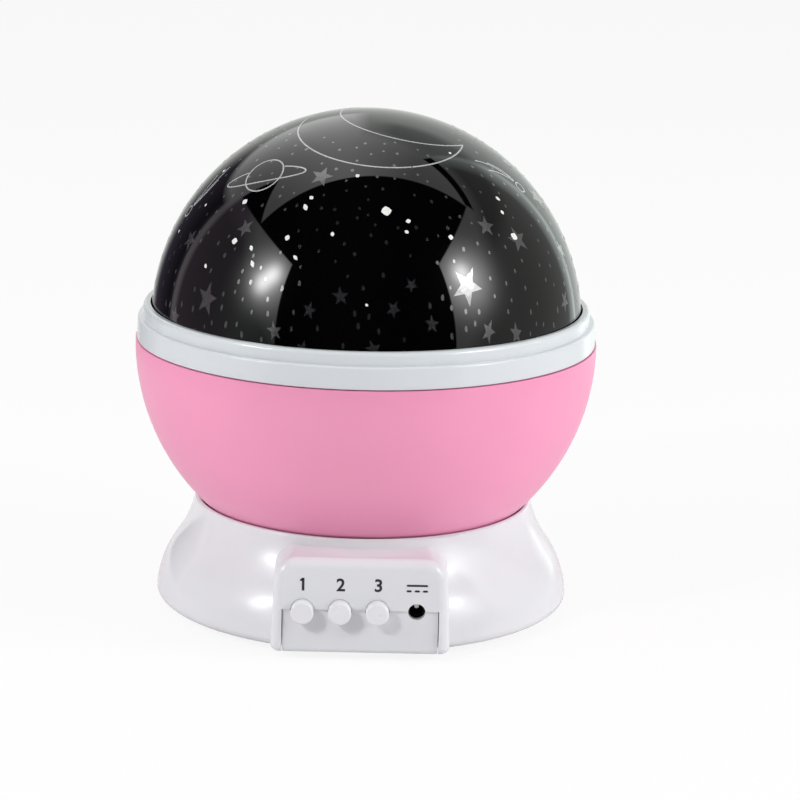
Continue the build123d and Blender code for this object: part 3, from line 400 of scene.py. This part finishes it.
def metalFinish(name, look):
    material = bpy.data.materials.new(name)
    add = partial(addNode, clearTree(material))
    place = add("ShaderNodeTexCoord").outputs["Object"]
    squeezed = add("ShaderNodeMapping", {"Vector": place, "Scale": look["stretch"]})
    lines = add("ShaderNodeTexNoise", {"Vector": squeezed, "Scale": 1 / (look["grain"] * mm),
                                       "Detail": surface["cloudDetail"]})
    tint = add("ShaderNodeMix", {0: lines, 6: linearFrom(look["colour"]), 7: linearFrom(look["shade"])},
               data_type="RGBA")
    low, high = look["rough"]
    rough = add("ShaderNodeMapRange", {"Value": lines, "To Min": low, "To Max": high})
    shader = add("ShaderNodeBsdfPrincipled", {"Base Color": tint.outputs[2], "Roughness": rough,
                                              "Metallic": 1.0})
    add("ShaderNodeOutputMaterial", {"Surface": shader})
    return material


finish = {name: mouldedPlastic(name, look) for name, look in plastics.items()}
finish.update({name: metalFinish(name, look) for name, look in metals.items()})
slotFinish = {
    "white_shell": "glossAbsWhite", "pink_bowl": "satinAbsPink", "dark_dome": "smokeStyrene",
    "foot_rubber": "siliconeRubber", "button_white": "satinAbsButton", "switch_black": "blackPbt",
    "jack_black": "shadedBlackJackPbt", "contact_metal": "nickelSpring", "board_green": "solderMask",
    "cell_sleeve": "pvcSleeve", "screw_steel": "zincScrew", "shaft_steel": "groundSteel",
    "motor_can": "nickelCan", "gear_nylon": "naturalAcetal", "inner_white": "mattPolypropylene",
    "led_lens_warm": "lensEpoxyWarm", "led_lens_red": "lensEpoxyRed", "led_lens_green": "lensEpoxyGreen",
    "led_lens_blue": "lensEpoxyBlue",
}
# the rings take the greyer copy of the white: painted shade, with a slightly cooler tint of their own
nodeFinish = {"rim_ring": "shadedCoolAbsWhite", "dome_ring": "shadedCoolAbsWhite"}
for name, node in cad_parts.items():
    for slot in node.material_slots:
        slot.material = finish[nodeFinish.get(name, slotFinish[slot.material.name])]
print("finishes: set on", len(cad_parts), "nodes")


# Dome skin
dome = {"wall": 1.6, "turns": 256, "rows": 72, "sharp": 40}  # wall in mm, sharp in degrees
domeLow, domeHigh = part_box("dome_shell")
domeRadius = domeHigh.x
domeCentre = Vector((0, 0, domeHigh.z - domeRadius))


# The outline holds (radius, height) points in metres, from the inside round to the outside
def lathe(name, outline, turns):
    mesh = bpy.data.meshes.new(name)
    work = bmesh.new()
    chain = [work.verts.new((r, 0, z)) for r, z in outline]
    edges = [work.edges.new(pair) for pair in zip(chain, chain[1:])]
    bmesh.ops.spin(work, geom=chain + edges, cent=(0, 0, 0), axis=(0, 0, 1), angle=math.tau, steps=turns,
                   use_merge=True, use_duplicate=False)
    bmesh.ops.remove_doubles(work, verts=work.verts, dist=tiny)
    bmesh.ops.recalc_face_normals(work, faces=work.faces)
    work.to_mesh(mesh)
    work.free()
    mesh.shade_smooth()
    return mesh


def arc(radius, centreHeight, start, end, count):  # (radius, height) points, angles from the equator
    angles = [start + (end - start) * i / count for i in range(count + 1)]
    return [(radius * math.cos(a), centreHeight + radius * math.sin(a)) for a in angles]


def makeDome(d):
    pole = math.pi / 2
    inner = domeRadius - d["wall"] * mm
    low = [math.asin((domeLow.z - domeCentre.z) / r) for r in (inner, domeRadius)]
    outline = arc(inner, domeCentre.z, pole, low[0], d["rows"])
    outline += arc(domeRadius, domeCentre.z, low[1], pole, d["rows"])
    outline = [(max(r, 0.0), z) for r, z in outline]
    piece = meshPiece("dome_skin", lathe("dome_skin", outline, d["turns"]), finish["smokeStyrene"])
    piece.data.set_sharp_from_angle(angle=math.radians(d["sharp"]))
    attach(piece, "dome")
    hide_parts("dome_shell")


makeDome(dome)
print("dome: skin")


# Star print on the dome: windows, dashes and outlines, with white specks that are painted glints of light
# through the windows. Angles are in degrees, sizes in mm
starPrint = {
    "seed": 12,
    "lift": 0.03,  # over the dome's surface
    "thickness": 0.1,  # most of it sunk
    "stars": (  # azimuth, elevation, size to a point, turn, stretch upwards
        (28, 21, 4.4, -14, 1.25), (-47, 14, 3.8, 12, 1.25), (-20, 52, 3.2, 10, 1.1), (-41, 34, 2.6, -20, 1.1),
        (51, 31, 3.6, 22, 1.1), (40, 36, 2.8, 4, 1.1), (33, 9, 2.1, -10, 1.6), (42, 7.5, 2.1, 14, 1.6),
        (-7, 19, 2.2, 24, 1.2), (7, 16, 1.9, -12, 1.3), (-24, 9, 2.1, 30, 1.3), (17, 12, 1.9, 15, 1.3),
        (-15, 15, 1.8, 6, 1.3), (12, 22, 1.7, -20, 1.2), (-64, 27, 2.8, 0, 1.2), (66, 12, 2.4, -25, 1.4),
        (-16, 5, 1.9, 5, 1.4), (2, 6, 2.0, 38, 1.4), (-60, 7, 2.3, 20, 1.4), (24, 3, 1.8, 30, 1.5)),
    "starCorners": 10,
    "starInner": 0.42,  # inner corner of a star, as a share of its point
    "moreStars": {  # round the sides and the back; lowStretch is added towards the rim
        "count": 26, "azimuth": (72, 288), "elevation": (2, 62), "size": (2.0, 3.8), "turn": (-36, 36),
        "stretch": 1.1, "lowStretch": 0.4, "apart": 9.0},
    # the specks are painted glints: white spots in place of light seen through the windows
    "specks": (  # azimuth, elevation, reach, stretch
        (6, 42, 1.39, 1.05), (13, 39, 0.7, 0.9), (12, 36, 0.52, 1.2), (-21, 45, 0.57, 1.2),
        (-22, 42, 0.61, 1.8), (-25, 33, 0.7, 1.2), (-11, 35, 0.52, 1.3), (-21, 28, 0.48, 1.8),
        (-34, 25, 0.57, 1.9), (-43, 30, 0.96, 1.0), (-47, 41, 0.87, 1.0), (26, 34, 0.74, 1.0),
        (52, 43, 0.57, 1.4), (50, 39, 0.57, 1.2), (-5, 53, 0.61, 1.0), (46, 60, 0.48, 0.9),
        (50, 32, 1.04, 1.2), (-36, 29, 0.52, 1.7), (-51, 22, 0.48, 1.5), (0, 17, 0.35, 1.3)),
    "speckTurn": (-60, 60),
    "roundCorners": 8,  # of a speck and of a dash
    "speckInner": 0.85,  # every other corner is drawn in to this share, so that specks are a little uneven
    "moreSpecks": {
        "count": 34, "azimuth": (60, 300), "elevation": (5, 66), "reach": (0.4, 0.65), "stretch": 1.2},
    "dashes": {  # they crowd towards the rim, and are taller there
        "count": 640, "tries": 12,  # tries for each of them
        "radius": 0.42, "spread": (0.7, 1.15),  # as shares of the radius
        "apart": 2.8, "fromStar": 4.2, "fromSpeck": 2.0,  # least distances
        "lowest": 1.2, "rise": 66, "crowding": 1.9,  # elevation: lowest + rise * chance ** crowding
        "turn": (-8, 8), "stretch": 1.2,
        "lowStretch": 1.2, "lowSpread": (0.7, 1.1), "lowUpTo": 40},  # added under this elevation
    "lineWidth": 0.4,
}


# A tree that sets flat shapes of so many corners on points and bends them to the dome
def scatterTree(name, corners, inner, material):
    tree = bpy.data.node_groups.new(name, "GeometryNodeTree")
    tree.is_modifier = True
    add = partial(addNode, tree)
    face = tree.interface
    face.new_socket("Geometry", in_out="INPUT", socket_type="NodeSocketGeometry")
    radius = face.new_socket("Surface radius", in_out="INPUT", socket_type="NodeSocketFloat")
    centre = face.new_socket("Centre", in_out="INPUT", socket_type="NodeSocketVector")
    share = face.new_socket("Inner share", in_out="INPUT", socket_type="NodeSocketFloat")
    face.new_socket("Geometry", in_out="OUTPUT", socket_type="NodeSocketGeometry")
    given = add("NodeGroupInput").outputs

    # the shape: a ring of corners, every other one drawn in
    shape = add("GeometryNodeMeshCircle", {"Vertices": corners, "Radius": 1.0},
                fill_type="TRIANGLE_FAN" if inner < 1 else "NGON")
    index = add("GeometryNodeInputIndex")
    odd = add("ShaderNodeMath", {0: index, 1: 2.0}, operation="MODULO")
    factor = add("ShaderNodeMapRange", {"Value": odd, "To Min": 1.0, "To Max": given["Inner share"]})
    spot = add("GeometryNodeInputPosition")
    drawn = add("ShaderNodeVectorMath", {0: spot, "Scale": factor}, operation="SCALE")
    star = add("GeometryNodeSetPosition", {"Geometry": shape, "Position": drawn})
    if inner < 1:
        star = add("GeometryNodeSubdivideMesh", {"Mesh": star, "Level": 1})

    # its place: face outwards, stand upright, turn, and stretch along its own height
    size, turn, stretch = [add("GeometryNodeInputNamedAttribute", {"Name": key}, data_type="FLOAT")
                           for key in ("size", "turn", "stretch")]
    outward = add("ShaderNodeVectorMath", {0: spot, 1: given["Centre"]}, operation="SUBTRACT")
    faced = add("FunctionNodeAlignRotationToVector", {"Vector": outward}, axis="Z")
    upright = add("FunctionNodeAlignRotationToVector", {"Rotation": faced, "Vector": (0, 0, 1)},
                  axis="Y", pivot_axis="Z")
    spin = add("FunctionNodeAxisAngleToRotation", {"Axis": (0, 0, 1), "Angle": turn})
    turned = add("FunctionNodeRotateRotation", {"Rotation": upright, "Rotate By": spin},
                 rotation_space="LOCAL")
    tall = add("ShaderNodeMath", {0: size, 1: stretch}, operation="MULTIPLY")
    scale = add("ShaderNodeCombineXYZ", {0: size, 1: tall, 2: size})
    placed = add("GeometryNodeInstanceOnPoints", {"Points": given["Geometry"], "Instance": star,
                                                  "Rotation": turned, "Scale": scale})
    real = add("GeometryNodeRealizeInstances", {"Geometry": placed})

    # every point of it goes to the surface radius
    way = add("ShaderNodeVectorMath", {0: outward}, operation="NORMALIZE")
    out = add("ShaderNodeVectorMath", {0: way, "Scale": given["Surface radius"]}, operation="SCALE")
    ball = add("ShaderNodeVectorMath", {0: out, 1: given["Centre"]}, operation="ADD")
    bent = add("GeometryNodeSetPosition", {"Geometry": real, "Position": ball})
    done = add("GeometryNodeSetMaterial", {"Geometry": bent, "Material": material})
    add("NodeGroupOutput", {0: done})
    return tree, {"radius": radius.identifier, "centre": centre.identifier, "share": share.identifier}


def printPiece(name, mesh, material):
    piece = meshPiece(name, mesh, material)
    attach(piece, "dome")


def scatterPiece(name, rows, corners, inner, material, p):  # rows: azimuth, elevation, size, turn, stretch
    points = bpy.data.meshes.new(name + "_points")
    points.from_pydata([domeCentre + directionOf(row[0], row[1]) * domeRadius for row in rows], [], [])
    values = {"size": [row[2] * mm for row in rows], "turn": [math.radians(row[3]) for row in rows],
              "stretch": [row[4] for row in rows]}
    for key, column in values.items():
        points.attributes.new(key, "FLOAT", "POINT").data.foreach_set("value", column)
    holder = bpy.data.objects.new(name + "_points", points)
    bpy.context.scene.collection.objects.link(holder)
    tree, sockets = scatterTree(name, corners, inner, material)
    nodes = holder.modifiers.new("scatter", "NODES")
    nodes.node_group = tree
    nodes[sockets["radius"]] = domeRadius + p["lift"] * mm
    nodes[sockets["centre"]] = domeCentre
    nodes[sockets["share"]] = inner
    wall = holder.modifiers.new("wall", "SOLIDIFY")
    wall.thickness = p["thickness"] * mm
    wall.offset = -1.0
    mesh = plainMesh(holder, name)
    bpy.data.objects.remove(holder)
    printPiece(name, mesh, material)


# Paths of (azimuth, elevation) as thin lines; a closed one ends where it starts
def ribbonPiece(name, paths, material, p):
    work = bmesh.new()
    outside, inside = (domeRadius + (p["lift"] - depth) * mm for depth in (0, p["thickness"]))
    half = p["lineWidth"] / 2 * mm
    for path in paths:
        ways = [directionOf(*place) for place in path]
        closed = (ways[0] - ways[-1]).length < tiny
        if closed:
            ways.pop()
        rings = []
        for i, way in enumerate(ways):
            before = ways[i - 1] if i or closed else way
            after = ways[(i + 1) % len(ways)] if closed or i + 1 < len(ways) else way
            side = way.cross(after - before).normalized() * half
            corners = [(way, outside, side), (way, outside, -side), (way, inside, -side), (way, inside, side)]
            rings.append([work.verts.new(domeCentre + w * r + s) for w, r, s in corners])
        for a, b in zip(rings, rings[1:] + rings[:1] if closed else rings[1:]):
            for k in range(4):
                work.faces.new((a[k], a[(k + 1) % 4], b[(k + 1) % 4], b[k]))
        if not closed:
            work.faces.new(rings[0])
            work.faces.new(rings[-1])
    bmesh.ops.recalc_face_normals(work, faces=work.faces)
    mesh = bpy.data.meshes.new(name)
    work.to_mesh(mesh)
    work.free()
    printPiece(name, mesh, material)


def aroundPoint(azimuth, elevation, across, up):  # a step in degrees from a place on the dome
    pole = directionOf(azimuth, elevation)
    east = directionOf(azimuth + 90, 0)
    north = east.cross(pole) * -1
    reach = math.radians(math.hypot(across, up))
    side = (east * across + north * up).normalized()
    way = pole * math.cos(reach) + side * math.sin(reach)
    return math.degrees(math.atan2(way.x, -way.y)), math.degrees(math.asin(way.z))


# Outlines, in degrees on the dome; at is the azimuth and elevation of the middle
moon = {"at": (14, 78), "radius": 22.0, "bite": 18.0, "biteAt": (9.0, 6.5), "steps": 90}
planet = {"at": (-47, 50), "radius": 5.5, "ring": (12.0, 2.4), "tilt": 24.0, "steps": 72}  # ring: half axes
comets = (  # place of the head, length and direction of the tail
    {"at": (72, 44), "tail": 15.0, "towards": 104.0}, {"at": (-78, 33), "tail": 16.0, "towards": 62.0})
cometShape = {
    "head": 1.6,  # radius
    "headSteps": 24,
    "gap": 2.4,  # from the middle of the head to the tail
    "spread": 9,  # between two lines of the tail
    "shorter": 0.25,  # what the outer lines lack, as a share of the tail
    "bend": 1.2,  # at each step
    "steps": 16,
}


def moonPath(m):  # the outer edge, then the bite's edge back
    gap = math.hypot(*m["biteAt"])
    reach = (gap ** 2 + m["radius"] ** 2 - m["bite"] ** 2) / (2 * gap)
    aim = math.atan2(m["biteAt"][1], m["biteAt"][0])
    half = math.acos(reach / m["radius"])
    biteHalf = math.acos((reach - gap) / m["bite"])
    flat = []
    for i in range(m["steps"]):
        turn = aim + half + (math.tau - 2 * half) * i / m["steps"]
        flat.append((m["radius"] * math.cos(turn), m["radius"] * math.sin(turn)))
    for i in range(m["steps"] + 1):
        turn = aim - biteHalf - (math.tau - 2 * biteHalf) * i / m["steps"]
        across, up = m["bite"] * math.cos(turn), m["bite"] * math.sin(turn)
        flat.append((m["biteAt"][0] + across, m["biteAt"][1] + up))
    return [aroundPoint(*m["at"], *place) for place in flat]


def planetPaths(g):  # a disc, and the part of the ring that the disc doesn't hide
    turns = [math.tau * i / g["steps"] for i in range(g["steps"] + 1)]
    ball = [(g["radius"] * math.cos(a), g["radius"] * math.sin(a)) for a in turns]
    tilt = math.radians(g["tilt"])
    hidden = math.acos(g["radius"] / g["ring"][0])
    start, end = math.pi - hidden, math.tau + hidden
    ring = []
    for i in range(g["steps"] + 1):
        a = start + (end - start) * i / g["steps"]
        across, up = g["ring"][0] * math.cos(a), g["ring"][1] * math.sin(a)
        ring.append((across * math.cos(tilt) - up * math.sin(tilt),
                     across * math.sin(tilt) + up * math.cos(tilt)))
    return [[aroundPoint(*g["at"], *place) for place in path] for path in (ball, ring)]


def cometPaths(c, s):  # a small round head and three bent lines after it, the outer ones shorter
    turns = [math.tau * i / s["headSteps"] for i in range(s["headSteps"] + 1)]
    paths = [[(s["head"] * math.cos(a), s["head"] * math.sin(a)) for a in turns]]
    for side in (-1, 0, 1):
        length = c["tail"] * (1 - s["shorter"] * abs(side)) - s["gap"]
        line = []
        for i in range(s["steps"] + 1):
            way = math.radians(c["towards"] + side * s["spread"] + i * s["bend"])
            far = s["gap"] + length * i / s["steps"]
            line.append((far * math.cos(way), far * math.sin(way)))
        paths.append(line)
    return [[aroundPoint(*c["at"], *place) for place in path] for path in paths]


def farFrom(way, taken, gap):  # gap in mm on the dome
    least = math.cos(gap * mm / domeRadius)
    return all(way.dot(other) < least for other in taken)


def makePrint(p):
    chance = random.Random(p["seed"])
    stars, more = list(p["stars"]), p["moreStars"]
    taken = [directionOf(row[0], row[1]) for row in stars]
    while len(stars) < len(p["stars"]) + more["count"]:
        azimuth, elevation = chance.uniform(*more["azimuth"]), chance.uniform(*more["elevation"])
        way = directionOf(azimuth, elevation)
        if farFrom(way, taken, more["apart"]):
            taken.append(way)
            size, turn = chance.uniform(*more["size"]), chance.uniform(*more["turn"])
            low = 1 - elevation / more["elevation"][1]
            stars.append((azimuth, elevation, size, turn, more["stretch"] + more["lowStretch"] * low))
    scatterPiece("dome_stars", stars, p["starCorners"], p["starInner"], finish["clearStyrene"], p)

    specks = [(a, e, r, chance.uniform(*p["speckTurn"]), s) for a, e, r, s in p["specks"]]
    few = p["moreSpecks"]
    for _ in range(few["count"]):
        azimuth, elevation = chance.uniform(*few["azimuth"]), chance.uniform(*few["elevation"])
        specks.append((azimuth, elevation, chance.uniform(*few["reach"]), 0.0, few["stretch"]))
    # painted glints: white spots standing in for light through the windows
    scatterPiece("dome_painted_glints", specks, p["roundCorners"], p["speckInner"], finish["paintedGlintWhite"], p)

    d = p["dashes"]
    near = [(way, d["fromStar"]) for way in taken]
    near += [(directionOf(row[0], row[1]), d["fromSpeck"]) for row in specks]
    dashes, spots = [], []
    for _ in range(d["count"] * d["tries"]):
        azimuth = chance.uniform(-180, 180)
        elevation = d["lowest"] + d["rise"] * chance.random() ** d["crowding"]
        way = directionOf(azimuth, elevation)
        if farFrom(way, spots, d["apart"]) and all(farFrom(way, [other], gap) for other, gap in near):
            spots.append(way)
            low = max(0.0, 1 - elevation / d["lowUpTo"])
            radius, turn = d["radius"] * chance.uniform(*d["spread"]), chance.uniform(*d["turn"])
            stretch = d["stretch"] + d["lowStretch"] * low * chance.uniform(*d["lowSpread"])
            dashes.append((azimuth, elevation, radius, turn, stretch))
        if len(dashes) == d["count"]:
            break
    scatterPiece("dome_dashes", dashes, p["roundCorners"], 1.0, finish["clearStyrene"], p)

    lines = [moonPath(moon)] + planetPaths(planet)
    for comet in comets:
        lines += cometPaths(comet, cometShape)
    ribbonPiece("dome_lines", lines, finish["silverPadInk"], p)
    print("print:", len(stars), "stars,", len(specks), "specks,", len(dashes), "dashes")


makePrint(starPrint)


# Plain numbers over the buttons and the usual sign for direct current over the inlet. Sizes are in mm
labels = {
    "numbers": ("1", "2", "3"),
    "height": 3.3,  # of a figure
    "bolder": 0.11,  # added round a stroke
    "fontShare": 0.7,  # a figure's height over the font size
    "flag": (-0.42, 0.42, 1.05, -40.0),  # across, down from the top, length, degrees
    "flagLine": 0.5,
    "middle": 20.8,  # over the floor
    "slide": 0.15,  # to the right of the button
    "thickness": 0.06,  # of ink
    "signWidth": 5.6,
    "signLine": 0.55,
    "signGap": 1.5,  # between the line and the dashes under it
    "signMiddle": 20.2,
    "barRound": 0.3,  # corner of a bar, as a share of its line
    "barSteps": 3,
}
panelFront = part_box("base_shell")[0].y  # the panel stands out furthest on the base


# A flat bar with round ends, turned in the panel's plane; lengths in metres
def addBar(work, centre, width, line, s, turn=0.0):
    depth = s["thickness"] * mm
    size = Matrix.Diagonal((width, depth, line, 1))
    place = Matrix.Translation(centre) @ Matrix.Rotation(turn, 4, "Y")
    made = set(bmesh.ops.create_cube(work, size=1.0, matrix=size)["verts"])
    upright = [e for e in work.edges
               if made.issuperset(e.verts) and abs(e.verts[0].co.y - e.verts[1].co.y) > depth / 2]
    new = bmesh.ops.bevel(work, geom=upright, offset=line * s["barRound"], segments=s["barSteps"],
                          affect="EDGES")
    bar = {v for face in new["faces"] for v in face.verts}
    bmesh.ops.transform(work, matrix=place, verts=list(bar))


def figureMesh(name, figure, s):
    curve = bpy.data.curves.new("figure", "FONT")
    curve.body = figure
    curve.size = s["height"] / s["fontShare"] * mm
    curve.extrude = s["thickness"] * mm / 2
    curve.offset = s["bolder"] * mm
    text = bpy.data.objects.new("figure", curve)
    bpy.context.scene.collection.objects.link(text)
    mesh = plainMesh(text, name)
    bpy.data.objects.remove(text)
    spread = [[pick(v.co[k] for v in mesh.vertices) for pick in (min, max)] for k in (0, 1)]
    mesh.transform(Matrix.Translation([-sum(pair) / 2 for pair in spread] + [0.0]))
    mesh.transform(Matrix.Rotation(math.pi / 2, 4, "X"))
    if figure == "1":  # the font's one is a bare stem, so it gets its flag
        work = bmesh.new()
        work.from_mesh(mesh)
        across, down, length, turn = s["flag"]
        centre = Vector((across * mm, 0.0, (s["height"] / 2 - down) * mm))
        addBar(work, centre, length * mm, s["flagLine"] * mm, s, math.radians(turn))
        work.to_mesh(mesh)
        work.free()
    return mesh


def signMesh(name, s):  # a line over three dashes
    work = bmesh.new()
    dash = s["signWidth"] / 4
    bars = [(0.0, s["signGap"] / 2, s["signWidth"])]
    bars += [(across, -s["signGap"] / 2, dash) for across in (-1.5 * dash, 0.0, 1.5 * dash)]
    for across, up, width in bars:
        addBar(work, Vector((across, 0.0, up)) * mm, width * mm, s["signLine"] * mm, s)
    mesh = bpy.data.meshes.new(name)
    work.to_mesh(mesh)
    work.free()
    return mesh


def makeLabels(s):
    marks = []
    for i, figure in enumerate(s["numbers"]):
        low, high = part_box("button_cap_%d" % (i + 1))
        mesh = figureMesh("figure_" + figure, figure, s)
        marks.append((mesh, (low.x + high.x) / 2 + s["slide"] * mm, s["middle"] * mm))
    low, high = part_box("dc_jack")
    marks.append((signMesh("sign_dc", s), (low.x + high.x) / 2, s["signMiddle"] * mm))
    for mesh, across, up in marks:
        mesh.transform(Matrix.Translation((across, panelFront, up)))
        piece = meshPiece(mesh.name, mesh, finish["darkPadInk"])
        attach(piece, "base")


makeLabels(labels)
print("labels: figures and sign")
